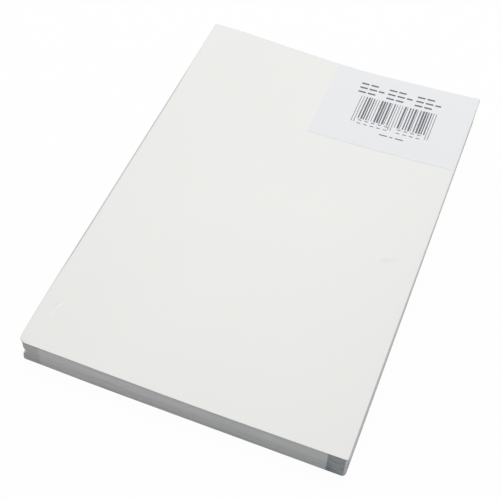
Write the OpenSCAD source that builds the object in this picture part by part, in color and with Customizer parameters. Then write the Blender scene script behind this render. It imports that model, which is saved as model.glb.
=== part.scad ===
// Pack of fan-folded recorder paper: one long strip folded back and forth
// into a flat stack, with a paper label stuck on its top sheet.
// X runs from fold to fold, Y from cut edge to cut edge, Z is up.
// The origin is the centre of the underside.

/* [Paper strip] */
// Width of the strip, from one cut edge to the other
web_w = 210; // [120:1:300]
// Length of one panel, from fold to fold
panel_l = 140; // [110:1:220]
// Number of panels in the strip
panel_count = 214; // [80:2:260]
// Thickness of one sheet as it lies in the pack
sheet_t = 0.0575; // [0.05:0.0025:0.08]

/* [Folded stack] */
// Depth of the groove between two neighbouring folds
groove_depth = 0.08; // [0.02:0.01:0.2]
// Most that a single fold is drawn in out of line with its neighbours
fold_scatter = 0.12; // [0:0.01:0.4]
// How far the top sheet has slid to the right of the bottom sheet
lean = 0.4; // [0:0.1:2]
// How much the folds lift the top sheet above its middle at the front cut side
front_lift = 1.0; // [0:0.1:3]
// How much the folds lift the top sheet above its middle at the back cut side
back_lift = 3.2; // [0:0.1:5]
// How far the valley of the top sheet lies to the right of the centre line
valley_x = 9; // [-20:1:30]
// Radius to which the lowest and the highest folds are drawn in
shoulder_r = 0.5; // [0.1:0.1:1.5]

/* [Corners] */
// Radius of the stack's upright corners
corner_r = 0.8; // [0.4:0.1:2.5]
// Radius of the front left corner in the lower bundle of sheets
dented_r = 2.2; // [0.6:0.1:3]
// How much more the front left corner of the upper bundle is pushed in
upper_push = 1.0; // [0:0.1:2]
// How much more the corner is pushed in at the notch between the bundles
notch_push = 1.2; // [0:0.1:2]
// Number of panels below the notch
lower_panels = 100; // [20:2:200]

/* [Label] */
// Length of the label along the back cut edge
label_l = 71; // [60:1:100]
// Width of the label along the folds
label_w = 51; // [44:1:90]
// Thickness of the label
label_t = 0.1; // [0.05:0.01:0.3]
// Strip of paper left bare around the label's outer corner
label_margin = 0.4; // [0.2:0.1:5]

/* [Print on the label] */
// Thickness of the print
ink_t = 0.04; // [0.02:0.01:0.1]
// Clearance between the print and the label
ink_gap = 0.03; // [0.03:0.01:0.1]
// Distance from the label's left edge to the bars
bars_x = 17; // [6:0.5:19]
// Distance from the label's front edge to the foot of the short bars
bars_y = 17.7; // [13:0.1:18]
// Height of the short bars
bar_h = 16; // [6:0.5:17]
// Extra length of the long bars, below the short ones
long_bar_drop = 2.8; // [0:0.1:4]
// Distance from one bar to the next
bar_pitch = 1.3; // [0.96:0.02:1.32]
// Number of bars
bar_count = 30; // [6:2:30]
// Width of the thinnest bar
bar_w = 0.3; // [0.15:0.01:0.3]
// Height of the row of large blank characters above the bars
heading_h = 7.2; // [3:0.1:8]
// Gap between the bars and that row
heading_gap = 2.1; // [0.5:0.1:2.5]
// Height of the strokes of the large characters
heading_stroke = 0.9; // [0.3:0.1:1.2]
// Height of the row of small blank characters below the bars
small_h = 2.8; // [1.5:0.1:3]
// Height of the strokes of the small characters
small_stroke = 0.3; // [0.2:0.05:0.6]
// Gap between the short bars and the small characters
small_gap = 0.7; // [0.5:0.1:2]
// Height of the short dashes below the small characters
dash_h = 0.7; // [0.4:0.1:2]
// Gap between the small characters and the dashes
dash_gap = 3.2; // [0.5:0.1:4]

/* [Mark on the cut edges] */
// Width of the dark mark at the right end of the front cut side
mark_w = 6.5; // [2:0.5:15]
// Thickness of the mark's ink
mark_t = 0.04; // [0.02:0.01:0.1]
// Strip of bare paper left around the mark
mark_margin = 0.2; // [0.1:0.05:1]

/* [Hidden] */

paper_white = "#ecece8";
label_white = "#e4e9ee";
print_grey = "#5c5d62";
mark_grey = "#74797c";

stack_h = panel_count * sheet_t;
half_x = (panel_l + lean) / 2;
half_y = web_w / 2;

// How steeply the top sheet climbs from its valley to the right folds, and from front to back
CROWN_POWER = 1.35;
LIFT_POWER = 1.2;
// Folds next to the top and the bottom that lie in line, and those over which the scatter sets in
CALM_FOLDS = 20;
CALM_SPREAD = 2;
// Folds over which the dented corner steps in, those that the notch reaches, and those above the dent
STEP_FOLDS = 5;
NOTCH_FOLDS = 18;
TOP_FOLDS = 6;
// Turn and stretch that make the folds' scatter irregular
SCATTER_TURN = 137.5;
SCATTER_STRETCH = 43.7;

// Length beside the cut sides that holds the corners' arcs and the label's outer edge
arc_margin = 0.4;
corner_reach = max(dented_r + upper_push + notch_push, corner_r, label_margin) + arc_margin;

// Outline of the label, its outer corner just inside the corner of the top sheet
label_right = half_x - shoulder_r - groove_depth - label_margin - corner_inset(corner_r, label_margin);
label_left = label_right - label_l;
label_back = half_y - label_margin;
label_front = label_back - label_w;

// Lines along the folds in which the top sheet and the label bend
LABEL_COLS = 8;
BARE_COLS = 6;
bare_margin = 4;
bare_left = -half_x + corner_reach + bare_margin;
top_x = concat(
    [for (i = [0:BARE_COLS - 1]) bare_left + i * (label_left - bare_left) / BARE_COLS],
    [for (i = [0:LABEL_COLS]) label_left + i * label_l / LABEL_COLS]
);

// Lines across the folds in which they bend, and which are the stations of the stack's body
FRONT_STEPS = 4;
front_zone = corner_reach - half_y;
back_zone = half_y - corner_reach;
label_y = [label_front, (label_front + back_zone) / 2, back_zone, label_back];
station_y = concat(
    [-half_y, label_margin - half_y],
    [for (i = [0:FRONT_STEPS - 1]) front_zone + i * (label_front - front_zone) / FRONT_STEPS],
    label_y,
    [half_y]
);

// Places of the printed rows from the label's front edge
bars_l = bar_count * bar_pitch;
heading_x = bars_x - 2 * bar_pitch;
heading_y = bars_y + bar_h + heading_gap;
small_y = bars_y - small_gap - small_h;
dash_y = small_y - dash_gap - dash_h;
// Widths that a bar can have, each a multiple of the thinnest
BAR_WIDTHS = 3;
// Characters in a row, and the share of its place that a character or a single dash fills
HEADING_CELLS = 9;
HEADING_FILL = 0.8;
HEADING_DASH_FILL = 0.6;
SMALL_CELLS = 12;
SMALL_FILL = 0.55;
// Start and length of the three short dashes, as shares of the bars' row
DASHES = [[0.4, 0.1], [0.53, 0.04], [0.6, 0.1]];

// Share of the lift at a place across the stack, from 0 in the valley to 1 at the folds
function crown(x) = x < valley_x
    ? pow(sin(90 * (valley_x - x) / (valley_x + half_x)), 2)
    : pow((x - valley_x) / (half_x - valley_x), CROWN_POWER);

// Lift at the folds, growing from the front cut side to the back one
function lift(y) = front_lift + (back_lift - front_lift) * pow((y + half_y) / web_w, LIFT_POWER);

// Height of the top sheet
function top_z(x, y) = stack_h + lift(y) * crown(x);

// Height of the bent top sheet over the label's place, straight from each line along the folds to the next
function bent_z(x, y) = let (
        i = max([for (j = [0:len(top_x) - 2]) if (top_x[j] <= x) j]),
        share = (x - top_x[i]) / (top_x[i + 1] - top_x[i])
    )
    top_z(top_x[i], y) * (1 - share) + top_z(top_x[i + 1], y) * share;

// Step-like rise from 0 to 1 around a middle value
function rise(v, mid, spread) = 1 / (1 + exp((mid - v) / spread));

// Bump of height 1 at a middle value
function bump(v, mid, spread) = exp(-pow((v - mid) / spread, 2));

// How far a quarter circle of radius r is drawn in at distance d from its end
function corner_inset(r, d) = d >= r ? 0 : r - sqrt(r * r - pow(r - d, 2));

// How far an upright corner is drawn in at a station
function upright_inset(r, y) = corner_inset(r, half_y - abs(y));

// How far the lowest and highest folds are drawn in
function shoulder(k) = corner_inset(shoulder_r, min(k, panel_count - k) * sheet_t);

// Irregular number from 0 to 1 for each fold
function irregular(k) = let (s = sin(k * SCATTER_TURN) * SCATTER_STRETCH) s - floor(s);

// How far a single fold is drawn in, k folds away from the outer sheet that lies in line
function scatter(k, away) = fold_scatter * irregular(k) * rise(away, CALM_FOLDS, CALM_SPREAD);

// Radius of the front left corner at level k
function dent_radius(k) = dented_r
    + upper_push * (rise(k, lower_panels, STEP_FOLDS) - rise(k, panel_count - TOP_FOLDS, 1))
    + notch_push * bump(k, lower_panels, NOTCH_FOLDS);

// Place of the right side at level k: crests at odd levels, grooves at even ones
function right_x(k, y) = half_x
    - lean * (1 - k / panel_count)
    - shoulder(k)
    - scatter(k, panel_count - k)
    - (k % 2 == 0 ? groove_depth : 0)
    - upright_inset(corner_r, y);

// Place of the left side at level k: crests at even levels, grooves at odd ones
function left_x(k, y) = -half_x
    + lean * k / panel_count
    + shoulder(k)
    + scatter(k + 0.5, k)
    + (k % 2 == 1 ? groove_depth : 0)
    + upright_inset(y < 0 ? dent_radius(k) : corner_r, y);

// Place of the i-th line along the folds, kept inside the top sheet where its corners are round
function line_x(i, y) = min(top_x[i], right_x(panel_count, y) - label_margin);

// Outline of the stack at one station: up the right folds, over the top sheet, down the left folds
function ring(y) = concat(
    [for (k = [0:panel_count]) [right_x(k, y), y, top_z(half_x, y) * k / panel_count]],
    [for (i = [len(top_x) - 1:-1:0]) [line_x(i, y), y, top_z(line_x(i, y), y)]],
    [for (k = [panel_count:-1:0]) [left_x(k, y), y, top_z(-half_x, y) * k / panel_count]]
);

// The two triangles between neighbouring points a, b of one ring and c, d of the next ring.
// Their common edge runs from front left to back right, so that bodies that meet share it.
function side_faces(a, b, c, d, leftward) = leftward
    ? [[a, c, b], [b, c, d]]
    : [[a, c, d], [a, d, b]];

// Closed body through a list of rings, each anticlockwise seen from the front
module loft(rings) {
    n = len(rings[0]);
    last = len(rings) - 1;
    polyhedron(
        points = [for (r = rings) each r],
        faces = concat(
            [[for (i = [0:n - 1]) i]],
            [for (j = [0:last - 1]) for (i = [0:n - 1])
                let (
                    next = (i + 1) % n,
                    leftward = rings[j][next].x < rings[j][i].x
                )
                each side_faces(j * n + i, j * n + next, (j + 1) * n + i, (j + 1) * n + next, leftward)],
            [[for (i = [n - 1:-1:0]) last * n + i]]
        ),
        convexity = 10
    );
}

// The strip folded into its stack: one piece of paper
module folded_strip() {
    color(paper_white) loft([for (y = station_y) ring(y)]);
}

// The label, bent in the same lines as the top sheet that it is stuck on
module label() {
    lines = [for (i = [len(top_x) - LABEL_COLS - 1:len(top_x) - 1]) top_x[i]];
    color(label_white) loft([for (y = label_y) concat(
        [for (x = lines) [x, y, top_z(x, y)]],
        [for (i = [LABEL_COLS:-1:0]) [lines[i], y, top_z(lines[i], y) + label_t]]
    )]);
}

// One printed rectangle, at a place measured from the label's front left corner
module ink(x, y, w, h) {
    x0 = label_left + x;
    x1 = x0 + w;
    y0 = label_front + y;
    z0 = label_t + ink_gap;
    z1 = z0 + ink_t;
    loft([for (at = [y0, y0 + h]) [
        [x0, at, bent_z(x0, at) + z0],
        [x1, at, bent_z(x1, at) + z0],
        [x1, at, bent_z(x1, at) + z1],
        [x0, at, bent_z(x0, at) + z1]
    ]]);
}

// Bars of one to three widths at even distances, with a long pair at each end and in the middle
module bars() {
    for (i = [0:bar_count - 1]) {
        long = i < 2 || i >= bar_count - 2 || abs(i - bar_count / 2 + 0.5) < 1;
        drop = long ? long_bar_drop : 0;
        w = long ? bar_w : bar_w * (1 + floor(BAR_WIDTHS * irregular(i)));
        ink(bars_x + i * bar_pitch, bars_y - drop, w, bar_h + drop);
    }
}

// Large blank characters above the bars: three level strokes each, and a single dash for every third
module heading() {
    cell = (bar_count + 3) * bar_pitch / HEADING_CELLS;
    rise_h = heading_h - heading_stroke;
    for (i = [0:HEADING_CELLS - 1]) {
        x = heading_x + i * cell;
        if (i % 3 == 2) ink(x, heading_y + rise_h / 2, cell * HEADING_DASH_FILL, heading_stroke);
        else for (level = [0, 0.5, 1])
            ink(x, heading_y + level * rise_h, cell * HEADING_FILL, heading_stroke);
    }
}

// Small blank characters below the bars, between the long ones: two level strokes each
module small_characters() {
    cell = bars_l / SMALL_CELLS;
    for (i = [1:SMALL_CELLS - 2]) if (i != SMALL_CELLS / 2)
        for (level = [0, 1])
            ink(bars_x + i * cell, small_y + level * (small_h - small_stroke),
                cell * SMALL_FILL, small_stroke);
}

// Short dashes near the label's front edge
module dashes() {
    for (d = DASHES) ink(bars_x + d[0] * bars_l, dash_y, d[1] * bars_l, dash_h);
}

// The rows of print on the label
module label_print() {
    color(print_grey) {
        bars();
        heading();
        small_characters();
        dashes();
    }
}

// Dark field that the mark printed beside the folds makes on the front cut side
module edge_mark() {
    x1 = half_x - lean - shoulder_r - fold_scatter - groove_depth - corner_r - mark_margin;
    x0 = x1 - mark_w;
    color(mark_grey)
        translate([0, -half_y, 0]) rotate([90, 0, 0]) linear_extrude(mark_t)
            polygon([
                [x0, mark_margin],
                [x1, mark_margin],
                [x1, top_z(x1, -half_y) - mark_margin],
                [x0, top_z(x0, -half_y) - mark_margin]
            ]);
}

folded_strip();
label();
label_print();
edge_mark();
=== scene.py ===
"""Looks of a flat pack of fan-folded recorder paper with a small printed label on its top sheet.

Lengths are in metres, X runs from fold to fold, Y from cut edge to cut edge and Z is up.
A level counts sheets from the floor: 0 is the underside and the number of panels is the top.
"""

import logging
import math
from collections.abc import Callable, Iterator
from dataclasses import dataclass
from enum import Enum
from typing import Any

import bmesh
import bpy
from mathutils import Matrix, Vector, noise


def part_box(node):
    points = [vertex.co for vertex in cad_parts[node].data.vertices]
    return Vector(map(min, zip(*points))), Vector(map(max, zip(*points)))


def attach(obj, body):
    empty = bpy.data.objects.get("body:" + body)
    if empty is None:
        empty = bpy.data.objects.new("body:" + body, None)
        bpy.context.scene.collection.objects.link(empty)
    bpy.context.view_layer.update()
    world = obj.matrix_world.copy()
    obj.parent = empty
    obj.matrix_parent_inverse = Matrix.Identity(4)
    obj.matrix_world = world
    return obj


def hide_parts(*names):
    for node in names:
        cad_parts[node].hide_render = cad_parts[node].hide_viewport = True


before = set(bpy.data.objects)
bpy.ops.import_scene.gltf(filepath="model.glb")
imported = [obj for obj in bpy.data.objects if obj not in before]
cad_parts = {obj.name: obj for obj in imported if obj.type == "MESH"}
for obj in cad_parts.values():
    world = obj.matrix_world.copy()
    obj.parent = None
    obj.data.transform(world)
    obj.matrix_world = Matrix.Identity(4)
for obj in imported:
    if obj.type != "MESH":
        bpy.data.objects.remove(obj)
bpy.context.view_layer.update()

log = logging.getLogger("paper_pack")

MM = 0.001
Colour = tuple[float, float, float]
Stretch = tuple[float, float, float]
Rectangle = tuple[float, float, float, float]

# Largest power that math.exp is given
LARGEST_POWER = 50.0
# Turn in degrees and stretch that scatter an irregular number
SCATTER_TURN = 137.5
SCATTER_STRETCH = 43.7
# Stretch that makes a smooth noise reach both ends of its range
NOISE_STRETCH = 1.6
# Least share of a direction along an axis, from which a face or an edge counts as lying along it
ALONG = 0.9
# Share of the half width from which a point lies on a side
ON_SIDE = 0.999
# Seeds of the irregular tucks and bundles of the folds and of the cut sides
FOLD_SEED, BUNDLE_SEED, CUT_SEED = 3, 11, 5


def opaque(colour: Colour) -> tuple[float, float, float, float]:
    """Gives a colour the fourth number that a socket takes."""
    return (*colour, 1.0)


def corner_inset(radius: float, distance: float) -> float:
    """Says how far a quarter circle is drawn in at a distance from its end.

    Args:
        radius: Radius of the quarter circle.
        distance: Distance from the face that the circle runs out into.

    Returns:
        The inset, from the radius at distance 0 down to 0.
    """
    if distance >= radius:
        return 0.0
    return radius - math.sqrt(radius**2 - (radius - distance) ** 2)


def rise(value: float, middle: float, spread: float) -> float:
    """Rises from 0 to 1 around a middle value."""
    return 1 / (1 + math.exp(min((middle - value) / spread, LARGEST_POWER)))


def bump(value: float, middle: float, spread: float) -> float:
    """Bump of height 1 at a middle value."""
    return math.exp(-(((value - middle) / spread) ** 2))


def irregular(count: float) -> float:
    """Irregular number from 0 to 1 for each count, the same in every run."""
    stretched = math.sin(math.radians(count * SCATTER_TURN)) * SCATTER_STRETCH
    return stretched - math.floor(stretched)


def wander(along: float, across: float, seed: float) -> float:
    """Smooth irregular number from 0 to 1 at a place on a surface."""
    stretched = noise.noise(Vector((along, across, seed))) * NOISE_STRETCH
    return 0.5 + 0.5 * max(-1.0, min(1.0, stretched))


class Side(Enum):
    """Surfaces of the stack, each with its place among the material slots."""

    SHEET = 0
    CUT = 1
    FOLD = 2


class Wire:
    """Output socket of a node, on which Python's operators add Math nodes."""

    def __init__(self, recipe: "Recipe", socket: bpy.types.NodeSocket) -> None:
        """Wraps a socket of a recipe's node tree."""
        self.recipe = recipe
        self.socket = socket

    def math(self, operation: str, *values: "Wire | float") -> "Wire":
        """Adds a Math node that works on the given values, in their order."""
        return self.recipe.node("ShaderNodeMath", {"operation": operation}, dict(enumerate(values)))

    def __add__(self, other: "Wire | float") -> "Wire":
        """Adds a value."""
        return self.math("ADD", self, other)

    def __radd__(self, other: float) -> "Wire":
        """Is added to a number."""
        return self.math("ADD", other, self)

    def __sub__(self, other: "Wire | float") -> "Wire":
        """Takes a value away."""
        return self.math("SUBTRACT", self, other)

    def __rsub__(self, other: float) -> "Wire":
        """Is taken away from a number."""
        return self.math("SUBTRACT", other, self)

    def __mul__(self, other: "Wire | float") -> "Wire":
        """Multiplies by a value."""
        return self.math("MULTIPLY", self, other)

    def __rmul__(self, other: float) -> "Wire":
        """Multiplies a number."""
        return self.math("MULTIPLY", other, self)

    def largest(self, other: "Wire | float") -> "Wire":
        """Gives the larger of two values."""
        return self.math("MAXIMUM", self, other)


class Recipe:
    """Nodes of one material or of the world."""

    def __init__(self, tree: bpy.types.NodeTree) -> None:
        """Empties a node tree to build in it."""
        self.tree = tree
        tree.nodes.clear()

    def node(
        self,
        kind: str,
        settings: dict[str, Any] | None = None,
        inputs: dict[str | int, Any] | None = None,
        output: str | int = 0,
    ) -> Wire:
        """Adds one node.

        Args:
            kind: Type of the node.
            settings: Properties of the node, which are set first.
            inputs: Values of its sockets, or wires that are linked to them.
            output: Name or number of the output that is given back.

        Returns:
            The node's output socket, wrapped.
        """
        made = self.tree.nodes.new(kind)
        for name, value in (settings or {}).items():
            setattr(made, name, value)
        for name, value in (inputs or {}).items():
            if isinstance(value, Wire):
                self.tree.links.new(value.socket, made.inputs[name])
            else:
                made.inputs[name].default_value = value
        return Wire(self, made.outputs[output] if made.outputs else None)

    def place(self) -> Wire:
        """Gives the place on the piece, in metres."""
        return self.node("ShaderNodeTexCoord", output="Object")

    def axes(self, place: Wire) -> tuple[Wire, Wire, Wire]:
        """Splits a place into its three coordinates.

        Args:
            place: Place on the piece.

        Returns:
            Its X, Y and Z.
        """
        split = self.node("ShaderNodeSeparateXYZ", inputs={"Vector": place})
        outputs = split.socket.node.outputs
        return Wire(self, outputs["X"]), Wire(self, outputs["Y"]), Wire(self, outputs["Z"])

    def measure(self, name: str) -> Wire:
        """Reads a number that the mesh holds for each of its points."""
        return self.node("ShaderNodeAttribute", {"attribute_name": name}, output="Fac")

    def spread(self, x: Wire | float, y: Wire | float, z: Wire | float) -> Wire:
        """Joins three values into a vector."""
        return self.node("ShaderNodeCombineXYZ", inputs={"X": x, "Y": y, "Z": z})

    def grain(self, place: Wire, scale: float, detail: float = 2.0) -> Wire:
        """Adds an even noise from 0 to 1.

        Args:
            place: Vector at which the noise is read.
            scale: Number of its waves in one unit of that vector.
            detail: Number of its finer layers.

        Returns:
            The noise's value.
        """
        return self.node("ShaderNodeTexNoise", inputs={"Vector": place, "Scale": scale, "Detail": detail})

    def layers(
        self, x: Wire | float, y: Wire | float, level: Wire, stretch: Stretch, detail: float = 1.0
    ) -> Wire:
        """Adds a noise from 0 to 1 that follows the sheets.

        Args:
            x: Place across the stack, or a seed.
            y: Place along the folds, or a seed.
            level: Level in the stack.
            stretch: Number of waves in one unit of each of the three.
            detail: Number of its finer layers.

        Returns:
            The noise's value.
        """
        return self.grain(self.spread(x * stretch[0], y * stretch[1], level * stretch[2]), 1.0, detail)

    def contrast(self, value: Wire) -> Wire:
        """Drives an even noise apart, towards 0 and 1."""
        return self.ramp(value, 0.3, 0.7)

    def ramp(self, value: Wire, start: float, end: float) -> Wire:
        """Rises smoothly from one value to another.

        Args:
            value: Value that is looked at.
            start: Value up to which the result is 0.
            end: Value from which it is 1.

        Returns:
            The risen share, from 0 to 1.
        """
        return self.node(
            "ShaderNodeMapRange",
            {"interpolation_type": "SMOOTHSTEP"},
            {"Value": value, "From Min": start, "From Max": end},
        )

    def blend(self, share: Wire | float, first: Wire | Colour, second: Wire | Colour) -> Wire:
        """Mixes two colours.

        Args:
            share: Share of the second colour, from 0 to 1.
            first: Colour at share 0.
            second: Colour at share 1.

        Returns:
            The mixed colour.
        """
        factor, a, b, result = 0, 6, 7, 2
        colours = [c if isinstance(c, Wire) else opaque(c) for c in (first, second)]
        return self.node(
            "ShaderNodeMix", {"data_type": "RGBA"}, {factor: share, a: colours[0], b: colours[1]}, result
        )

    def spot(self, place: Wire, trace: "Trace") -> Wire:
        """Marks a soft round or oval spot seen from above.

        Args:
            place: Place on the piece.
            trace: Middle, half sizes and turn of the spot.

        Returns:
            A mask, 1 in the middle of the spot and 0 outside it.
        """
        centred = self.node(
            "ShaderNodeVectorMath", {"operation": "SUBTRACT"}, {0: place, 1: (*trace.centre, 0.0)}
        )
        turned = self.node(
            "ShaderNodeVectorRotate",
            {"rotation_type": "Z_AXIS"},
            {"Vector": centred, "Angle": -math.radians(trace.turn)},
        )
        scaled = self.node(
            "ShaderNodeVectorMath",
            {"operation": "MULTIPLY"},
            {0: turned, 1: (1 / trace.reach[0], 1 / trace.reach[1], 0.0)},
        )
        distance = self.node("ShaderNodeVectorMath", {"operation": "LENGTH"}, {0: scaled}, "Value")
        return 1 - self.ramp(distance, 0.0, 1.0)

    def surface(self, colour: Wire, roughness: Wire | float, relief: Wire, depth: float) -> None:
        """Finishes a material with its surface.

        Args:
            colour: Colour of the surface.
            roughness: Roughness of the surface.
            relief: Height of its fine relief, from 0 to 1.
            depth: Depth of that relief.
        """
        normal = self.node("ShaderNodeBump", inputs={"Height": relief, "Distance": depth})
        shader = self.node(
            "ShaderNodeBsdfPrincipled",
            inputs={"Base Color": colour, "Roughness": roughness, "Normal": normal},
        )
        self.node("ShaderNodeOutputMaterial", inputs={"Surface": shader})


def new_material(name: str) -> tuple[bpy.types.Material, Recipe]:
    """Starts a material.

    Args:
        name: Name of the material.

    Returns:
        The material and its empty recipe.
    """
    material = bpy.data.materials.new(name)
    material.use_nodes = True
    return material, Recipe(material.node_tree)


@dataclass(frozen=True)
class Trace:
    """Soft spot on the top sheet: its middle, half sizes, change of tone and turn in degrees."""

    centre: tuple[float, float]
    reach: tuple[float, float]
    tone: float = 1.0
    turn: float = 0.0


@dataclass(frozen=True)
class SheetFinish:
    """Smooth thermal paper, nearly white, with a faint cloudy tone and a few handling marks.

    It is a little greyer away from the middle: a painted pool of light on the middle of the top, with
    painted shade around it. Its creases are painted lighter, a painted highlight, with painted shade beside
    one of them.
    """

    colour: Colour = (0.852, 0.852, 0.830)
    cloud: Colour = (0.832, 0.834, 0.815)
    painted_shade_rim: Colour = (0.812, 0.812, 0.792)
    # Colour of the smudges, and of the painted shade beside a crease.
    smudge_and_shade: Colour = (0.70, 0.70, 0.69)
    crease_highlight: Colour = (0.94, 0.94, 0.93)
    # Painted pool of light: inside this spot the top keeps its colour, and outside it the top is painted
    # greyer as painted shade.
    middle: Trace = Trace((6 * MM, -35 * MM), (132 * MM, 185 * MM))
    cloud_waves: float = 22.0
    roughness: float = 0.9
    gloss_spread: float = 0.08
    fibre: float = 0.006 * MM
    fibre_waves: float = 2600.0
    fibre_share: float = 0.6
    crease_share: float = 0.4
    smudges_and_shade: tuple[Trace, ...] = (
        Trace((54.9 * MM, -8.6 * MM), (2.4 * MM, 2.2 * MM), 0.35),
        Trace((58.4 * MM, -6.9 * MM), (5.0 * MM, 2.2 * MM), 0.26, 25),
        Trace((-12.7 * MM, -22.4 * MM), (0.6 * MM, 0.6 * MM), 0.35),
        Trace((-26.1 * MM, -91.0 * MM), (0.5 * MM, 0.5 * MM), 0.35),
        # Painted shade: this dark streak lies along the crease, on its shaded side.
        Trace((-63.1 * MM, -82.8 * MM), (3.4 * MM, 0.8 * MM), 0.30, 66),
    )
    # Creases: a small bump, and a painted highlight along each.
    creases: tuple[Trace, ...] = (
        Trace((-61.9 * MM, -83.4 * MM), (3.4 * MM, 0.8 * MM), 0.45, 66),
        Trace((-62.8 * MM, -87.6 * MM), (2.4 * MM, 0.9 * MM), 0.35, 66),
    )

    def make(self) -> bpy.types.Material:
        """Makes the material of the sheets' faces.

        Returns:
            The material.
        """
        material, recipe = new_material("sheet_face")
        place = recipe.place()
        clouds = recipe.grain(place, self.cloud_waves, 3.0)
        colour = recipe.blend(clouds, self.colour, self.cloud)
        # Painted light: the middle stays lighter and the rest is painted greyer, as painted shade.
        colour = recipe.blend(recipe.spot(place, self.middle), self.painted_shade_rim, colour)
        # Smudges, and one strip of painted shade beside a crease.
        for trace in self.smudges_and_shade:
            colour = recipe.blend(recipe.spot(place, trace) * trace.tone, colour, self.smudge_and_shade)
        relief = recipe.grain(place, self.fibre_waves, 3.0) * self.fibre_share
        for trace in self.creases:
            fold = recipe.spot(place, trace)
            # Painted highlight: the crease is painted lighter.
            colour = recipe.blend(fold * trace.tone, colour, self.crease_highlight)
            relief = relief + self.crease_share * fold
        roughness = self.roughness + self.gloss_spread * (clouds - 0.5)
        recipe.surface(colour, roughness, relief, self.fibre)
        return material


@dataclass(frozen=True)
class CutTones:
    """How much each irregularity lightens the cut edges, or darkens them below 0."""

    base: float = 0.07
    sheets: float = 0.30
    bundles: float = 0.28
    lines: float = 0.26
    upper: float = 0.23
    foot: float = 0.04
    far_left: float = -0.32
    # Painted shade in the band under the top sheets
    under_top_shade: float = -0.20
    seam: float = -0.25


@dataclass(frozen=True)
class CutFinish:
    """Cut edges of the sheets: grey, streaked sheet by sheet, with a dark printed mark at one end.

    The seam is a dark line where the upper half of the sheets begins. The edges are also darker in
    a band under the top sheets, which is painted shade, and at the far left of the front side, and
    they are cooler on the right. Past the dark mark lie the bare ends of the folds.
    """

    light: Colour = (0.715, 0.715, 0.722)
    dark: Colour = (0.43, 0.435, 0.442)
    cool: Colour = (0.515, 0.56, 0.545)
    mark: Colour = (0.16, 0.195, 0.215)
    fold_end: Colour = (0.74, 0.74, 0.79)
    tones: CutTones = CutTones()
    half_step: float = 101.0
    seam_levels: float = 8.0
    mark_start: float = 61.8 * MM
    mark_blur: float = 0.5 * MM
    mark_wander: float = 0.6 * MM
    mark_end: float = 68.8 * MM
    end_blur: float = 1.2 * MM
    end_wander: float = 0.8 * MM
    ink: float = 0.21
    ink_streaks: float = 0.42
    ink_fields: float = 0.32
    end_share: float = 0.85
    far_left_end: float = -60.5 * MM
    cool_start: float = 5 * MM
    cool_end: float = 25 * MM
    cool_share: float = 0.3
    under_top_shade_start: float = 170.0
    under_top_shade_end: float = 205.0
    sheet_waves: Stretch = (30.0, 2.0, 0.4)
    bundle_waves: Stretch = (14.0, 2.0, 0.10)
    line_waves: Stretch = (40.0, 1.0, 0.07)
    line_seed: float = 5.0
    streak_waves: Stretch = (180.0, 0.0, 0.09)
    streak_slant: float = 60.0
    field_waves: Stretch = (170.0, 1.0, 0.03)
    field_seed: float = 3.0
    roughness: float = 0.85
    fuzz: float = 0.01 * MM
    fuzz_waves: Stretch = (600.0, 600.0, 0.9)

    def make(self) -> bpy.types.Material:
        """Makes the material of the cut sides.

        Returns:
            The material.
        """
        material, recipe = new_material("cut_edges")
        x, y, _ = recipe.axes(recipe.place())
        level = recipe.measure("level")
        front = 1 - recipe.ramp(y, -1 * MM, 1 * MM)
        colour = recipe.blend(self.tone(recipe, x, y, level, front), self.dark, self.light)
        cool = self.cool_share * recipe.ramp(x, self.cool_start, self.cool_end)
        colour = recipe.blend(cool, colour, self.cool)
        colour = self.print_mark(recipe, x, level, front, colour)
        fuzz = recipe.layers(x, y, level, self.fuzz_waves, 3.0)
        recipe.surface(colour, self.roughness, fuzz, self.fuzz)
        return material

    def tone(self, recipe: Recipe, x: Wire, y: Wire, level: Wire, front: Wire) -> Wire:
        """Adds up the tone of the sheets' edges.

        Args:
            recipe: Recipe of the material.
            x: Place across the stack.
            y: Place along the folds.
            level: Level in the stack.
            front: 1 on the front side and 0 on the back one.

        Returns:
            The share of the light colour.
        """
        sheets = recipe.layers(x, y, level, self.sheet_waves, 2.0)
        bundles = recipe.layers(x, y, level, self.bundle_waves)
        lines = recipe.contrast(recipe.layers(x, self.line_seed, level, self.line_waves))
        upper = recipe.ramp(level, self.half_step - 1, self.half_step + 3)
        seam = upper * (1 - recipe.ramp(level, self.half_step + 1, self.half_step + self.seam_levels))
        foot = 1 - recipe.ramp(level, 0.0, self.half_step)
        # The front side is darker at its far left end.
        far_left = front * (1 - recipe.ramp(x, self.far_left_end - 1 * MM, self.far_left_end + 1 * MM))
        # Painted shade: the band under the top sheets is painted darker.
        under_top_shade = recipe.ramp(level, self.under_top_shade_start, self.under_top_shade_end)
        tones = self.tones
        even = tones.base + tones.sheets * sheets + tones.bundles * bundles + tones.lines * lines
        even = even + tones.upper * upper + tones.foot * foot
        return even + tones.far_left * far_left + tones.under_top_shade * under_top_shade + tones.seam * seam

    def print_mark(self, recipe: Recipe, x: Wire, level: Wire, front: Wire, paper: Wire) -> Wire:
        """Prints the mark on the sheets' edges, and clears the ends of the folds beside it.

        Args:
            recipe: Recipe of the material.
            x: Place across the stack.
            level: Level in the stack.
            front: 1 on the front side and 0 on the back one.
            paper: Colour of the bare edges.

        Returns:
            The colour of the printed edges.
        """
        across, _, up = self.streak_waves
        slanted = level * up + x * self.streak_slant
        waves = recipe.grain(recipe.spread(x * across, 0.0, slanted), 1.0, 2.0)
        streaks = recipe.contrast(waves)
        fields = recipe.contrast(recipe.layers(x, self.field_seed, level, self.field_waves))
        start = recipe.ramp(x + self.mark_wander * waves, self.mark_start, self.mark_start + self.mark_blur)
        past = recipe.ramp(x + self.end_wander * waves, self.mark_end, self.mark_end + self.end_blur)
        ink = self.ink + self.ink_streaks * streaks + self.ink_fields * fields
        inked = recipe.blend(start * (1 - past) * front * ink, paper, self.mark)
        return recipe.blend(past * self.end_share, inked, self.fold_end)


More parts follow.
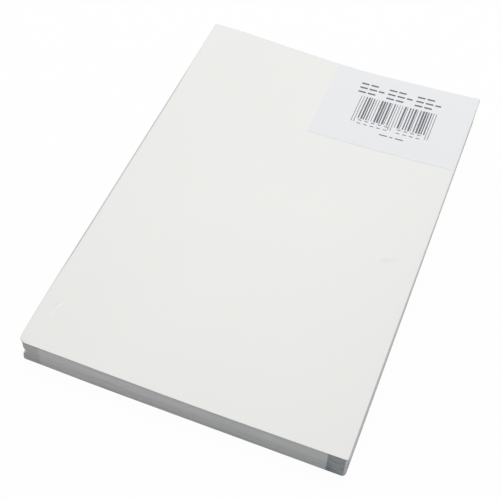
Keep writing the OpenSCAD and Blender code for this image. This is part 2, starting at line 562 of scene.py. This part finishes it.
@dataclass(frozen=True)
class FoldFinish:
    """Folds of the strip: white crests with greyer grooves between them, in bundles of uneven tone.

    The grooves' grey is painted shade. The right side is painted darker towards its front end, and the left
    one on its narrow ledge, both as painted shade.
    """

    crest: Colour = (0.72, 0.72, 0.725)
    # Painted shade: the grooves between the crests are painted in this darker colour.
    groove: Colour = (0.42, 0.42, 0.427)
    base_tone: float = 0.17
    groove_shade_tone: float = 0.45
    fold_tone: float = 0.25
    bundle_tone: float = 0.36
    # Painted shade: the right side is painted darker towards its front end.
    front_shade_tone: float = -0.4
    front_shade_start: float = -105 * MM
    front_shade_end: float = 20 * MM
    # Painted shade: the left side's ledge is painted darker, where its crests turn away from the lamp.
    ledge_shade_tone: float = -0.25
    ledge_shade_level: float = 211.0
    bundle_waves: Stretch = (1.0, 6.0, 0.07)
    bundle_seed: float = 3.0
    fold_waves: Stretch = (1.0, 9.0, 0.4)
    fold_seed: float = 7.0
    roughness: float = 0.75
    fuzz: float = 0.01 * MM
    fuzz_waves: tuple[float, float] = (500.0, 0.9)

    def make(self) -> bpy.types.Material:
        """Makes the material of the folded sides.

        Returns:
            The material.
        """
        material, recipe = new_material("fold_crests")
        x, y, _ = recipe.axes(recipe.place())
        level = recipe.measure("level")
        relief = recipe.measure("relief")
        bundles = recipe.contrast(recipe.layers(self.bundle_seed, y, level, self.bundle_waves, 2.0))
        folds = recipe.layers(self.fold_seed, y, level, self.fold_waves, 2.0)
        right = recipe.ramp(x, -1 * MM, 1 * MM)
        # Painted shade towards the front end of the right side
        near = right * (1 - recipe.ramp(y, self.front_shade_start, self.front_shade_end))
        # Painted shade on the left side's ledge
        ledge = (1 - right) * recipe.ramp(level, self.ledge_shade_level - 3, self.ledge_shade_level)
        # Painted shade in the grooves, through the relief
        tone = self.base_tone + self.groove_shade_tone * relief + self.fold_tone * folds
        tone = tone + self.bundle_tone * bundles + self.front_shade_tone * near + self.ledge_shade_tone * ledge
        colour = recipe.blend(tone, self.groove, self.crest)
        along, up = self.fuzz_waves
        fuzz = recipe.grain(recipe.spread(y * along, 0.0, level * up), 1.0, 3.0)
        recipe.surface(colour, self.roughness, fuzz, self.fuzz)
        return material


@dataclass(frozen=True)
class LabelFinish:
    """Smooth label paper, a little bluer than the sheets."""

    colour: Colour = (0.794, 0.804, 0.822)
    cloud: Colour = (0.784, 0.796, 0.816)
    cloud_waves: float = 60.0
    roughness: float = 0.9
    gloss_spread: float = 0.06
    fibre: float = 0.003 * MM
    fibre_waves: float = 3200.0

    def make(self) -> bpy.types.Material:
        """Makes the material of the label.

        Returns:
            The material.
        """
        material, recipe = new_material("label_paper")
        place = recipe.place()
        clouds = recipe.grain(place, self.cloud_waves)
        colour = recipe.blend(clouds, self.colour, self.cloud)
        fibres = recipe.grain(place, self.fibre_waves)
        roughness = self.roughness + self.gloss_spread * (clouds - 0.5)
        recipe.surface(colour, roughness, fibres, self.fibre)
        return material


@dataclass(frozen=True)
class InkFinish:
    """Dark grey print that lets specks of the label through, and more of it where it is weak."""

    ink: Colour = (0.075, 0.075, 0.09)
    paper: Colour = (0.79, 0.82, 0.85)
    bare: float = 0.05
    speck_bare: float = 0.5
    speck_waves: float = 2400.0
    speck_start: float = 0.62
    speck_blur: float = 0.1
    roughness: float = 0.6
    gloss_spread: float = 0.1
    fibre: float = 0.003 * MM

    def make(self) -> bpy.types.Material:
        """Makes the material of the print.

        Returns:
            The material.
        """
        material, recipe = new_material("label_ink")
        place = recipe.place()
        specks = recipe.grain(place, self.speck_waves)
        speckled = recipe.ramp(specks, self.speck_start, self.speck_start + self.speck_blur)
        through = self.bare + self.speck_bare * speckled
        strength = recipe.measure("strength")
        colour = recipe.blend(1 - strength * (1 - through), self.ink, self.paper)
        roughness = self.roughness + self.gloss_spread * (specks - 0.5)
        recipe.surface(colour, roughness, specks, self.fibre)
        return material


def deselect() -> None:
    """Clears the selection, so that an operator acts on the new piece alone."""
    for thing in bpy.context.selected_objects:
        thing.select_set(False)
    bpy.context.view_layer.objects.active = None


def choose(*pieces: bpy.types.Object) -> None:
    """Selects pieces and nothing else.

    Args:
        pieces: The pieces, of which the first becomes the active one.
    """
    deselect()
    for piece in pieces:
        piece.select_set(True)
    bpy.context.view_layer.objects.active = pieces[0]


def settle(piece: bpy.types.Object) -> None:
    """Moves a piece's place and size into its mesh."""
    choose(piece)
    bpy.ops.object.transform_apply(location=True, rotation=True, scale=True)


def select_faces(piece: bpy.types.Object, wanted: Callable[[bmesh.types.BMFace], bool]) -> None:
    """Selects some faces of a piece in edit mode, and no others.

    Args:
        piece: The piece.
        wanted: Test that says of a face whether it is selected.
    """
    bpy.ops.mesh.select_mode(type="FACE")
    bpy.ops.mesh.select_all(action="DESELECT")
    edit = bmesh.from_edit_mesh(piece.data)
    for face in edit.faces:
        face.select_set(wanted(face))
    bmesh.update_edit_mesh(piece.data)


def select_edges(piece: bpy.types.Object, axis: int) -> None:
    """Selects the edges of a piece in edit mode that run along an axis, and no others.

    Args:
        piece: The piece.
        axis: Number of the axis, 0 for X, 1 for Y and 2 for Z.
    """
    bpy.ops.mesh.select_mode(type="EDGE")
    bpy.ops.mesh.select_all(action="DESELECT")
    edit = bmesh.from_edit_mesh(piece.data)
    for edge in edit.edges:
        run = (edge.verts[0].co - edge.verts[1].co).normalized()
        edge.select_set(abs(run[axis]) > ALONG)
    bmesh.update_edit_mesh(piece.data)


def cut_along(piece: bpy.types.Object, axis: int, cells: int) -> None:
    """Divides the edges that run along an axis, so that the piece has that many cells there."""
    select_edges(piece, axis)
    bpy.ops.mesh.subdivide(number_cuts=cells - 1)


@dataclass(frozen=True)
class Folding:
    """Sizes of the folded strip and the law by which its sheets lie, as in the solid."""

    half_y: float
    panel: float = 140 * MM
    panels: int = 214
    sheet: float = 0.0575 * MM
    groove: float = 0.08 * MM
    scatter: float = 0.12 * MM
    lean: float = 0.4 * MM
    front_lift: float = 1.0 * MM
    back_lift: float = 3.2 * MM
    valley: float = 9 * MM
    shoulder: float = 0.25 * MM
    corner: float = 0.8 * MM
    lower_panels: int = 100
    calm_folds: float = 20.0
    calm_spread: float = 2.0
    crown_power: float = 1.35
    lift_power: float = 1.2

    @property
    def half_x(self) -> float:
        """Half the length from the outermost left fold to the outermost right one."""
        return (self.panel + self.lean) / 2

    @property
    def height(self) -> float:
        """Height of the stack in its middle."""
        return self.panels * self.sheet

    @property
    def weld(self) -> float:
        """Distance under which two points are one."""
        return self.sheet / 20

    def crown(self, x: float) -> float:
        """Says how the lift is shared out across the stack.

        Args:
            x: Place across the stack.

        Returns:
            The share, from 0 in the valley to 1 at the folds.
        """
        if x < self.valley:
            return math.sin(math.pi / 2 * (self.valley - x) / (self.valley + self.half_x)) ** 2
        return ((x - self.valley) / (self.half_x - self.valley)) ** self.crown_power

    def lift(self, y: float) -> float:
        """Lift at the folds, growing from the front cut side to the back one."""
        along = max(0.0, (y + self.half_y) / (2 * self.half_y))
        return self.front_lift + (self.back_lift - self.front_lift) * along**self.lift_power

    def top(self, x: float, y: float) -> float:
        """Height of the top sheet."""
        return self.height + self.lift(y) * self.crown(min(x, self.half_x))

    def drawn_in(self, level: float) -> float:
        """How far the lowest and highest folds are drawn in."""
        return corner_inset(self.shoulder, min(level, self.panels - level) * self.sheet)


@dataclass(frozen=True)
class Dent:
    """Front left corner, where the sheets below the top ones are pushed in, most at a notch.

    The pushes are those of the top, of the underside, of the notch and of the sheets above it. The
    lowest sheets are also curled up a little there.
    """

    corner: float = 1.0 * MM
    top_corner: float = 2.9 * MM
    top_push: float = 0.5 * MM
    foot_push: float = 1.5 * MM
    notch_push: float = 3.1 * MM
    upper_push: float = 1.9 * MM
    reach: float = 7 * MM
    top_reach: float = 16 * MM
    notch: float = 97.0
    lower_spread: float = 25.0
    upper_spread: float = 28.0
    top_start: float = 207.0
    top_spread: float = 0.6
    curl: float = 0.9 * MM
    curl_reach: float = 26 * MM

    def radius(self, level: float) -> float:
        """Radius of the corner, larger in the top sheets."""
        return self.corner + (self.top_corner - self.corner) * rise(level, self.top_start, self.top_spread)

    def push(self, level: float, distance: float) -> float:
        """How far the corner is pushed in.

        Args:
            level: Level of the point.
            distance: Distance from the front cut side.

        Returns:
            The push, which fades out along the folds.
        """
        below = level < self.notch
        rest = self.foot_push if below else self.upper_push
        peak = bump(level, self.notch, self.lower_spread if below else self.upper_spread)
        further = rest + (self.notch_push - rest) * peak - self.top_push
        below_top = 1 - rise(level, self.top_start, self.top_spread)
        top_part = self.top_push * bump(distance, 0.0, self.top_reach)
        return top_part + further * below_top * bump(distance, 0.0, self.reach)

    def curled(self, share: float, distance_x: float, distance_y: float) -> float:
        """How far the corner is curled up.

        Args:
            share: Share of the stack's height, from 0 to 1.
            distance_x: Distance from the left folds.
            distance_y: Distance from the front cut side.

        Returns:
            The rise, none in the top sheet.
        """
        near = bump(distance_x, 0.0, self.curl_reach) * bump(distance_y, 0.0, self.curl_reach)
        return self.curl * (1 - share) * near


@dataclass
class PaperStack:
    """The strip folded into its stack, each fold a rounded crest and each sheet an edge of its own.

    The top sheets stand back on a ledge along the middle of the left side, and they slope in at
    the front of the right one. The lowest sheets have a larger round at the front right corner.
    """

    folding: Folding
    dent: Dent
    columns_x: int = 28
    columns_y: int = 40
    rows: int = 4
    gather: float = 1.8
    waviness: float = 0.09 * MM
    wave_stretch: Stretch = (28.0, 20.0, 0.02)
    unevenness: float = 0.16 * MM
    scatter_waves: tuple[float, float] = (14.0, 0.37)
    fold_waves: tuple[float, float] = (9.0, 0.05)
    cut_waves: tuple[float, float] = (1.1, 0.06)
    cut_share: float = 0.5
    sheet_gap: float = 0.015 * MM
    sheet_shift: float = 0.05 * MM
    skew_turn: float = 3.7
    side_turn: float = 0.3
    room: float = 0.02 * MM
    lower_recess: float = 0.18 * MM
    lower_step: float = 0.8
    rim_recess: float = 0.10 * MM
    rim_levels: tuple[float, float] = (203.0, 211.0)
    ledge: float = 0.5 * MM
    ledge_levels: float = 211.0
    ledge_end: float = 0.62
    ledge_blur: float = 0.05
    tuck: float = 0.7 * MM
    tuck_levels: float = 22.0
    slope: float = 0.4 * MM
    slope_levels: float = 14.0
    slope_end: float = 0.1
    slope_blur: float = 0.2
    smooth_angle: float = 35.0

    def build(self, finishes: dict[Side, bpy.types.Material]) -> bpy.types.Object:
        """Builds the stack.

        Args:
            finishes: Material of each side.

        Returns:
            The finished piece.
        """
        band = self.fold_band()
        caps = [self.cap(0.0), self.cap(self.folding.height)]
        choose(band, *caps)
        bpy.ops.object.join()
        band.name = "paper_stack"
        bpy.ops.object.mode_set(mode="EDIT")
        bpy.ops.mesh.select_all(action="SELECT")
        bpy.ops.mesh.remove_doubles(threshold=self.folding.weld)
        bpy.ops.mesh.normals_make_consistent(inside=False)
        bpy.ops.object.mode_set(mode="OBJECT")
        self.dress(band, finishes)
        self.lay_sheets(band)
        bpy.ops.object.shade_smooth_by_angle(angle=math.radians(self.smooth_angle))
        return band

    def fold_band(self) -> bpy.types.Object:
        """Models one fold on each side, two sheets high, and stacks it up to the whole height.

        Returns:
            The open band of all sides.
        """
        law = self.folding
        pitch = 2 * law.sheet
        bpy.ops.mesh.primitive_cube_add(size=1, location=(0, 0, pitch / 2))
        band = bpy.context.object
        band.scale = (2 * law.half_x, 2 * law.half_y, pitch)
        settle(band)
        bpy.ops.object.mode_set(mode="EDIT")
        select_faces(band, lambda face: abs(face.normal.z) > ALONG)
        bpy.ops.mesh.delete(type="FACE")
        for axis, cells in enumerate((self.columns_x, self.columns_y, self.rows)):
            cut_along(band, axis, cells)
        bpy.ops.object.mode_set(mode="OBJECT")
        folds = band.modifiers.new("folds", "ARRAY")
        folds.count = law.panels // 2
        folds.use_relative_offset = False
        folds.use_constant_offset = True
        folds.constant_offset_displace = (0, 0, pitch)
        folds.use_merge_vertices = True
        folds.merge_threshold = law.weld
        bpy.ops.object.modifier_apply(modifier=folds.name)
        return band

    def cap(self, height: float) -> bpy.types.Object:
        """Models an outer sheet with the same cells as the sides.

        Args:
            height: Height of the sheet.

        Returns:
            The sheet.
        """
        law = self.folding
        bpy.ops.mesh.primitive_plane_add(size=1, location=(0, 0, height))
        sheet = bpy.context.object
        sheet.scale = (2 * law.half_x, 2 * law.half_y, 1)
        settle(sheet)
        bpy.ops.object.mode_set(mode="EDIT")
        cut_along(sheet, 0, self.columns_x)
        cut_along(sheet, 1, self.columns_y)
        bpy.ops.object.mode_set(mode="OBJECT")
        return sheet

    def dress(self, stack: bpy.types.Object, finishes: dict[Side, bpy.types.Material]) -> None:
        """Gives each side of the still straight stack its material.

        Args:
            stack: The straight stack.
            finishes: Material of each side.
        """
        for side in Side:
            stack.data.materials.append(finishes[side])
        wanted = {
            Side.CUT: lambda face: abs(face.normal.y) > ALONG,
            Side.FOLD: lambda face: abs(face.normal.x) > ALONG,
        }
        bpy.ops.object.mode_set(mode="EDIT")
        for side, test in wanted.items():
            select_faces(stack, test)
            stack.active_material_index = side.value
            bpy.ops.object.material_slot_assign()
        bpy.ops.object.mode_set(mode="OBJECT")

    def lay_sheets(self, stack: bpy.types.Object) -> None:
        """Moves every point of the straight stack to where its sheet lies.

        Each point also gets its level, and its relief: 1 on a crest or on a sheet's edge, 0 between
        two of them.

        Args:
            stack: The straight stack.
        """
        law = self.folding
        mesh = stack.data
        levels = mesh.attributes.new("level", "FLOAT", "POINT")
        reliefs = mesh.attributes.new("relief", "FLOAT", "POINT")
        for index, point in enumerate(mesh.vertices):
            level = round(2 * point.co.z / law.sheet) / 2
            across = point.co.x / law.half_x
            along = self.gathered(point.co.y / law.half_y)
            on_side = abs(across) > ON_SIDE
            on_cut = abs(along) > ON_SIDE
            y = along * law.half_y
            if on_cut:
                y -= math.copysign(self.cut_inset(level, across, along), along)
            left = -law.half_x + self.left_inset(level, y)
            right = law.half_x - self.right_inset(level, y)
            x = left + (right - left) * (across + 1) / 2
            top = law.top(x if not on_side else math.copysign(law.half_x, across), y)
            z = top * level / law.panels
            levels.data[index].value = level
            reliefs.data[index].value = self.relief(level, across) if on_side else self.edge_relief(level)
            curl = self.dent.curled(level / law.panels, x + law.half_x, y + law.half_y)
            point.co = (x, y, z + curl + self.wave(x, y, level))
        mesh.update()

    def gathered(self, along: float) -> float:
        """Gathers the columns towards the two cut sides, where the corners are round."""
        return math.copysign(1 - (1 - min(abs(along), 1.0)) ** self.gather, along)

    def relief(self, level: float, across: float) -> float:
        """Says how far out a point of a fold lies.

        Args:
            level: Level of the point.
            across: Above 0 on the right side and below 0 on the left one.

        Returns:
            The share of the crest's height, 1 on a crest and 0 in a groove.
        """
        crest = 1 if across > 0 else 0
        away = abs((level - crest + 1) % 2 - 1)
        return math.sqrt(max(0.0, 1 - away**2))

    def edge_relief(self, level: float) -> float:
        """Share of a sheet's edge on a cut side: 1 in its middle and 0 between two sheets."""
        return 1.0 if level % 1 else 0.0

    def fold_inset(self, level: float, y: float, across: float, away: float) -> float:
        """How far a fold is drawn in.

        Args:
            level: Level of the point.
            y: Place along the fold.
            across: 1 on the right side and -1 on the left one.
            away: Number of levels to the outer sheet that lies in line.

        Returns:
            The inset, without that of the upright corners.
        """
        law = self.folding
        crest = 1 if across > 0 else 0
        low = math.floor((level - crest) / 2) * 2 + crest
        nearest = [low, low + 2] if level - low == 1 else [low + 2 * round((level - low) / 2)]
        along, up = self.scatter_waves
        drawn = max(
            law.scatter * (irregular(fold) + wander(y * along, fold * up, FOLD_SEED + across)) / 2
            for fold in nearest
        )
        along, up = self.fold_waves
        bundle = self.unevenness * wander(y * along, level * up, BUNDLE_SEED + across)
        settled = rise(away, law.calm_folds, law.calm_spread)
        settled *= rise(law.panels - away, law.calm_folds, law.calm_spread)
        return (
            self.room
            + law.groove * (1 - self.relief(level, across))
            + law.drawn_in(level)
            + (drawn + bundle) * settled
        )

    def right_inset(self, level: float, y: float) -> float:
        """How far the right side is drawn in.

        Args:
            level: Level of the point.
            y: Place along the folds.

        Returns:
            The inset.
        """
        law = self.folding
        tucked = self.tuck * (1 - rise(level, self.tuck_levels / 2, self.tuck_levels / 8))
        radius = law.corner + (tucked if y < 0 else 0.0)
        sloped = max(0.0, 1 - (law.panels - level) / self.slope_levels)
        return (
            law.lean * (1 - level / law.panels)
            + self.slope * sloped * rise(-y / law.half_y, self.slope_end, self.slope_blur)
            + self.fold_inset(level, y, 1, law.panels - level)
            + corner_inset(radius, law.half_y - abs(y))
        )

    def left_inset(self, level: float, y: float) -> float:
        """How far the left side is drawn in.

        Args:
            level: Level of the point.
            y: Place along the folds.

        Returns:
            The inset.
        """
        law = self.folding
        distance = law.half_y - abs(y)
        radius = self.dent.radius(level) if y < 0 else law.corner
        pushed = self.dent.push(level, distance) if y < 0 else 0.0
        share, end, blur = y / law.half_y, self.ledge_end, self.ledge_blur
        middle = rise(share, -end, blur) - rise(share, end, blur)
        ledge = self.ledge * middle if level > self.ledge_levels else 0.0
        return (
            law.lean * level / law.panels
            + self.fold_inset(level, y, -1, level)
            + corner_inset(radius, distance)
            + pushed
            + ledge
        )

    def cut_inset(self, level: float, across: float, along: float) -> float:
        """How far a point of a cut side is drawn in.

        Args:
            level: Level of the point.
            across: Place from the left folds at -1 to the right ones at 1.
            along: -1 on the front cut side and 1 on the back one.

        Returns:
            The inset.
        """
        law = self.folding
        sheets = [math.floor(level)] if level % 1 else [max(0, level - 1), min(level, law.panels - 1)]
        shifts = []
        for sheet in sheets:
            skew = (irregular(sheet * self.skew_turn + along) - 0.5) * across
            shifts.append(self.sheet_shift * (irregular(sheet + self.side_turn * along) + skew + 0.5) / 2)
        gap = 0.0 if level % 1 else self.sheet_gap
        step = self.lower_step * rise(level, law.lower_panels, 2)
        lower = 1 - step - (1 - self.lower_step) * level / law.panels
        below_rim = rise(level, self.rim_levels[0], 2) - rise(level, self.rim_levels[1], 0.5)
        over, up = self.cut_waves
        bundle = self.cut_share * self.unevenness * wander(across * over, level * up, CUT_SEED + along)
        outer = min(level, law.panels - level) / 2
        return (
            (max(shifts) + gap + bundle + self.lower_recess * lower) * min(1.0, outer)
            + self.rim_recess * below_rim
        )

    def wave(self, x: float, y: float, level: float) -> float:
        """Says how far the sheets rise or dip inside the stack.

        Args:
            x: Place across the stack.
            y: Place along the folds.
            level: Level of the point.

        Returns:
            The rise, none at the stack's top and underside.
        """
        share = level / self.folding.panels
        free = 4 * share * (1 - share)
        over, along, up = self.wave_stretch
        return self.waviness * free * noise.noise(Vector((x * over, y * along, level * up)))


@dataclass
class PrintedLabel:
    """The label on the top sheet and the blank print on it."""

    folding: Folding
    thickness: float = 0.1 * MM
    corner: float = 0.7 * MM
    corner_segments: int = 4
    cells: tuple[int, int] = (24, 12)
    smooth_angle: float = 30.0
    bars_x: float = 17 * MM
    bars_y: float = 17.7 * MM
    bar_height: float = 16 * MM
    long_bar_drop: float = 2.8 * MM
    bar_pitch: float = 1.3 * MM
    bar_count: int = 30
    bar_width: float = 0.3 * MM
    bar_widths: int = 3
    heading_height: float = 7.2 * MM
    heading_gap: float = 2.1 * MM
    heading_stroke: float = 1.05 * MM
    heading_cells: int = 9
    heading_fill: float = 0.8
    heading_dash_fill: float = 0.6
    heading_start: float = -2.0
    heading_end: float = 1.0
    small_height: float = 2.8 * MM
    small_stroke: float = 0.55 * MM
    small_gap: float = 0.7 * MM
    small_cells: int = 12
    small_fill: float = 0.55
    dash_height: float = 0.7 * MM
    dash_gap: float = 3.2 * MM
    dashes_at: tuple[tuple[float, float], ...] = ((0.4, 0.1), (0.53, 0.04), (0.6, 0.1))
    small_strength: float = 0.95
    dash_strength: float = 0.95
    ink: float = 0.012 * MM
    ink_gap: float = 0.004 * MM
    ink_corner: float = 0.07 * MM

    def lay(self, piece: bpy.types.Object) -> None:
        """Bends a flat piece, modelled at height 0, onto the top sheet.

        Args:
            piece: The piece.
        """
        for point in piece.data.vertices:
            point.co.z += self.folding.top(point.co.x, point.co.y)
        piece.data.update()

    def label(self, finish: bpy.types.Material) -> bpy.types.Object:
        """Builds the label with round corners, in cells that bend with the top sheet.

        Args:
            finish: Material of the label.

        Returns:
            The finished piece.
        """
        low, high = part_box("label")
        size = high - low
        deselect()
        bpy.ops.mesh.primitive_cube_add(
            size=1, location=((low.x + high.x) / 2, (low.y + high.y) / 2, self.thickness / 2)
        )
        piece = bpy.context.object
        piece.name = "label_sheet"
        piece.scale = (size.x, size.y, self.thickness)
        settle(piece)
        bpy.ops.object.mode_set(mode="EDIT")
        select_edges(piece, 2)
        bpy.ops.mesh.bevel(offset=self.corner, segments=self.corner_segments, affect="EDGES")
        for axis, count in enumerate(self.cells):
            across = Vector([float(axis == other) for other in range(3)])
            for cut in range(1, count):
                bpy.ops.mesh.select_all(action="SELECT")
                at = low + (high - low) * (cut / count)
                bpy.ops.mesh.bisect(plane_co=at, plane_no=across)
        bpy.ops.object.mode_set(mode="OBJECT")
        self.lay(piece)
        bpy.ops.object.shade_smooth_by_angle(angle=math.radians(self.smooth_angle))
        piece.data.materials.append(finish)
        return piece

    def strokes(self) -> Iterator[tuple[Rectangle, float]]:
        """Gives every printed stroke and how strongly it is printed.

        Yields:
            The stroke's left, front, width and depth from the label's corner, and its strength.
        """
        kinds = (
            (self.bars, 1.0),
            (self.heading, 1.0),
            (self.small_characters, self.small_strength),
            (self.dashes, self.dash_strength),
        )
        for rectangles, strength in kinds:
            for rectangle in rectangles():
                yield rectangle, strength

    def bars(self) -> Iterator[Rectangle]:
        """Bars of one to three widths at even distances, a long pair at each end and in the middle.

        Yields:
            Each bar's left, front, width and depth.
        """
        middle = self.bar_count / 2 - 0.5
        for i in range(self.bar_count):
            is_long = i < 2 or i >= self.bar_count - 2 or abs(i - middle) < 1
            drop = self.long_bar_drop if is_long else 0.0
            widths = 1 if is_long else 1 + math.floor(self.bar_widths * irregular(i))
            left = self.bars_x + i * self.bar_pitch
            yield left, self.bars_y - drop, widths * self.bar_width, self.bar_height + drop

    def heading(self) -> Iterator[Rectangle]:
        """Large blank characters of three level strokes, with a single dash for every third.

        The row starts and ends a few bars past the bars.

        Yields:
            Each stroke's left, front, width and depth.
        """
        bars = self.bar_count - self.heading_start + self.heading_end
        cell = bars * self.bar_pitch / self.heading_cells
        foot = self.bars_y + self.bar_height + self.heading_gap
        climb = self.heading_height - self.heading_stroke
        for i in range(self.heading_cells):
            left = self.bars_x + self.heading_start * self.bar_pitch + i * cell
            if i % 3 == 2:
                yield left, foot + climb / 2, cell * self.heading_dash_fill, self.heading_stroke
                continue
            for share in (0.0, 0.5, 1.0):
                yield left, foot + share * climb, cell * self.heading_fill, self.heading_stroke

    def small_characters(self) -> Iterator[Rectangle]:
        """Small blank characters of two level strokes, between the long bars.

        Yields:
            Each stroke's left, front, width and depth.
        """
        cell = self.bar_count * self.bar_pitch / self.small_cells
        foot = self.bars_y - self.small_gap - self.small_height
        for i in range(1, self.small_cells - 1):
            if i == self.small_cells // 2:
                continue
            for climb in (0.0, self.small_height - self.small_stroke):
                left = self.bars_x + i * cell
                yield left, foot + climb, cell * self.small_fill, self.small_stroke

    def dashes(self) -> Iterator[Rectangle]:
        """Short dashes near the label's front edge.

        Yields:
            Each dash's left, front, width and depth.
        """
        length = self.bar_count * self.bar_pitch
        foot = self.bars_y - self.small_gap - self.small_height - self.dash_gap - self.dash_height
        for start, share in self.dashes_at:
            yield self.bars_x + start * length, foot, share * length, self.dash_height

    def stroke(self) -> bpy.types.Object:
        """Models one small stroke with round corners, which all others are drawn out from.

        Returns:
            The stroke, in the middle of the floor.
        """
        deselect()
        bottom = self.thickness + self.ink_gap
        bpy.ops.mesh.primitive_cube_add(size=1, location=(0, 0, bottom + self.ink / 2))
        piece = bpy.context.object
        piece.scale = (self.bar_width, self.bar_width, self.ink)
        settle(piece)
        bpy.ops.object.mode_set(mode="EDIT")
        select_edges(piece, 2)
        bpy.ops.mesh.bevel(offset=self.ink_corner, segments=2, affect="EDGES")
        bpy.ops.object.mode_set(mode="OBJECT")
        piece.data.attributes.new("strength", "FLOAT", "POINT")
        return piece

    def print(self, finish: bpy.types.Material) -> bpy.types.Object:
        """Builds the print, in which every stroke is a copy of the first one, drawn out to its size.

        Args:
            finish: Material of the print.

        Returns:
            The finished piece.
        """
        corner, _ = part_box("label")
        model = self.stroke()
        strokes = []
        for (left, front, width, depth), strength in self.strokes():
            copy = model.copy()
            copy.data = model.data.copy()
            for number in copy.data.attributes["strength"].data:
                number.value = strength
            bpy.context.scene.collection.objects.link(copy)
            middle = Vector((corner.x + left + width / 2, corner.y + front + depth / 2, 0))
            growth = Vector(((width - self.bar_width) / 2, (depth - self.bar_width) / 2, 0))
            for point in copy.data.vertices:
                outward = Vector((math.copysign(1, point.co.x), math.copysign(1, point.co.y), 0))
                point.co += middle + growth * outward
            strokes.append(copy)
        bpy.data.objects.remove(model)
        choose(*strokes)
        bpy.ops.object.join()
        piece = strokes[0]
        piece.name = "label_strokes"
        self.lay(piece)
        piece.data.materials.append(finish)
        return piece


@dataclass(frozen=True)
class Viewpoint:
    """Camera of the picture: its angles in degrees, its place and its focal length in picture widths."""

    azimuth: float = 17.963
    elevation: float = 51.445
    roll: float = 4.014
    place: tuple[float, float, float] = (86.86 * MM, -295.04 * MM, 368.71 * MM)
    focal: float = 1054.6 / 500
    sensor: float = 36.0
    nearest: float = 0.01
    farthest: float = 20.0

    def build(self) -> bpy.types.Object:
        """Adds the camera and makes it the scene's own.

        Returns:
            The camera.
        """
        azimuth, elevation = math.radians(self.azimuth), math.radians(self.elevation)
        back = Vector((
            math.sin(azimuth) * math.cos(elevation),
            -math.cos(azimuth) * math.cos(elevation),
            math.sin(elevation),
        ))
        level = (-back).cross(Vector((0, 0, 1))).normalized()
        upright = level.cross(-back)
        roll = math.radians(self.roll)
        right = level * math.cos(roll) + upright * math.sin(roll)
        up = upright * math.cos(roll) - level * math.sin(roll)
        data = bpy.data.cameras.new("camera")
        data.sensor_width = self.sensor
        data.lens = self.focal * self.sensor
        data.clip_start, data.clip_end = self.nearest, self.farthest
        camera = bpy.data.objects.new("camera", data)
        bpy.context.scene.collection.objects.link(camera)
        turn = Matrix((right, up, back)).transposed().to_4x4()
        camera.matrix_world = Matrix.Translation(self.place) @ turn
        bpy.context.scene.camera = camera
        return camera


@dataclass(frozen=True)
class Studio:
    """Pale floor, even sky and one soft lamp that hangs behind the pack on its left."""

    floor_size: float = 4.0
    floor_colour: Colour = (0.80, 0.80, 0.80)
    floor_white: float = 0.97
    sky: float = 0.50
    lamp_place: tuple[float, float, float] = (-0.14, 0.58, 1.40)
    lamp_size: float = 0.9
    lamp_power: float = 13.7

    def build(self) -> None:
        """Adds the floor, the sky and the lamp."""
        self.floor()
        self.world()
        self.lamp()

    def floor(self) -> None:
        """Adds the floor, which the camera sees nearly white but for the pack's shadow."""
        deselect()
        bpy.ops.mesh.primitive_plane_add(size=self.floor_size)
        plane = bpy.context.object
        plane.name = "floor"
        material, recipe = new_material("floor_paper")
        seen = recipe.node("ShaderNodeLightPath", output="Is Camera Ray")
        diffuse = recipe.node("ShaderNodeBsdfDiffuse", inputs={"Color": opaque(self.floor_colour)})
        white = recipe.node("ShaderNodeEmission", inputs={"Strength": 1.0})
        mixed = recipe.node(
            "ShaderNodeMixShader", inputs={0: seen * self.floor_white, 1: diffuse, 2: white}
        )
        recipe.node("ShaderNodeOutputMaterial", inputs={"Surface": mixed})
        plane.data.materials.append(material)

    def world(self) -> None:
        """Lights the scene evenly from the sky, which looks white itself."""
        world = bpy.data.worlds.new("sky")
        world.use_nodes = True
        bpy.context.scene.world = world
        recipe = Recipe(world.node_tree)
        path = recipe.node("ShaderNodeLightPath", output="Is Camera Ray")
        outputs = path.socket.node.outputs
        glossy = Wire(recipe, outputs["Is Glossy Ray"])
        through = Wire(recipe, outputs["Is Transmission Ray"])
        seen = path.largest(glossy).largest(through)
        light = recipe.node("ShaderNodeBackground", inputs={"Strength": self.sky})
        white = recipe.node("ShaderNodeBackground", inputs={"Strength": 1.0})
        for source in (light, white):
            source.socket.node.inputs["Color"].default_value = opaque((1.0, 1.0, 1.0))
        mixed = recipe.node("ShaderNodeMixShader", inputs={0: seen, 1: light, 2: white})
        recipe.node("ShaderNodeOutputWorld", inputs={"Surface": mixed})

    def lamp(self) -> None:
        """Adds the soft lamp and points it at the pack."""
        data = bpy.data.lights.new("soft_lamp", "AREA")
        data.size = self.lamp_size
        data.energy = self.lamp_power
        lamp = bpy.data.objects.new("soft_lamp", data)
        bpy.context.scene.collection.objects.link(lamp)
        lamp.location = self.lamp_place
        lamp.rotation_euler = (-Vector(self.lamp_place)).to_track_quat("-Z", "Y").to_euler()


def report(piece: bpy.types.Object) -> None:
    """Writes a finished piece's name and number of faces to the log."""
    log.info("%s: %d faces", piece.name, len(piece.data.polygons))


def main() -> None:
    """Builds the pack, the label, the camera and the studio."""
    logging.basicConfig(level=logging.INFO, format="%(message)s")
    bpy.context.scene.view_settings.view_transform = "Standard"
    low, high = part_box("folded_strip")
    folding = Folding(half_y=(high.y - low.y) / 2)

    deselect()
    finishes = {
        Side.SHEET: SheetFinish().make(),
        Side.CUT: CutFinish().make(),
        Side.FOLD: FoldFinish().make(),
    }
    stack = PaperStack(folding, Dent()).build(finishes)
    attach(stack, "root")
    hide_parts("folded_strip", "edge_mark")
    report(stack)

    printed = PrintedLabel(folding)
    label = printed.label(LabelFinish().make())
    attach(label, "root")
    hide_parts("label")
    report(label)

    strokes = printed.print(InkFinish().make())
    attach(strokes, "root")
    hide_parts("label_print")
    report(strokes)

    Viewpoint().build()
    Studio().build()


if __name__ == "__main__":
    main()
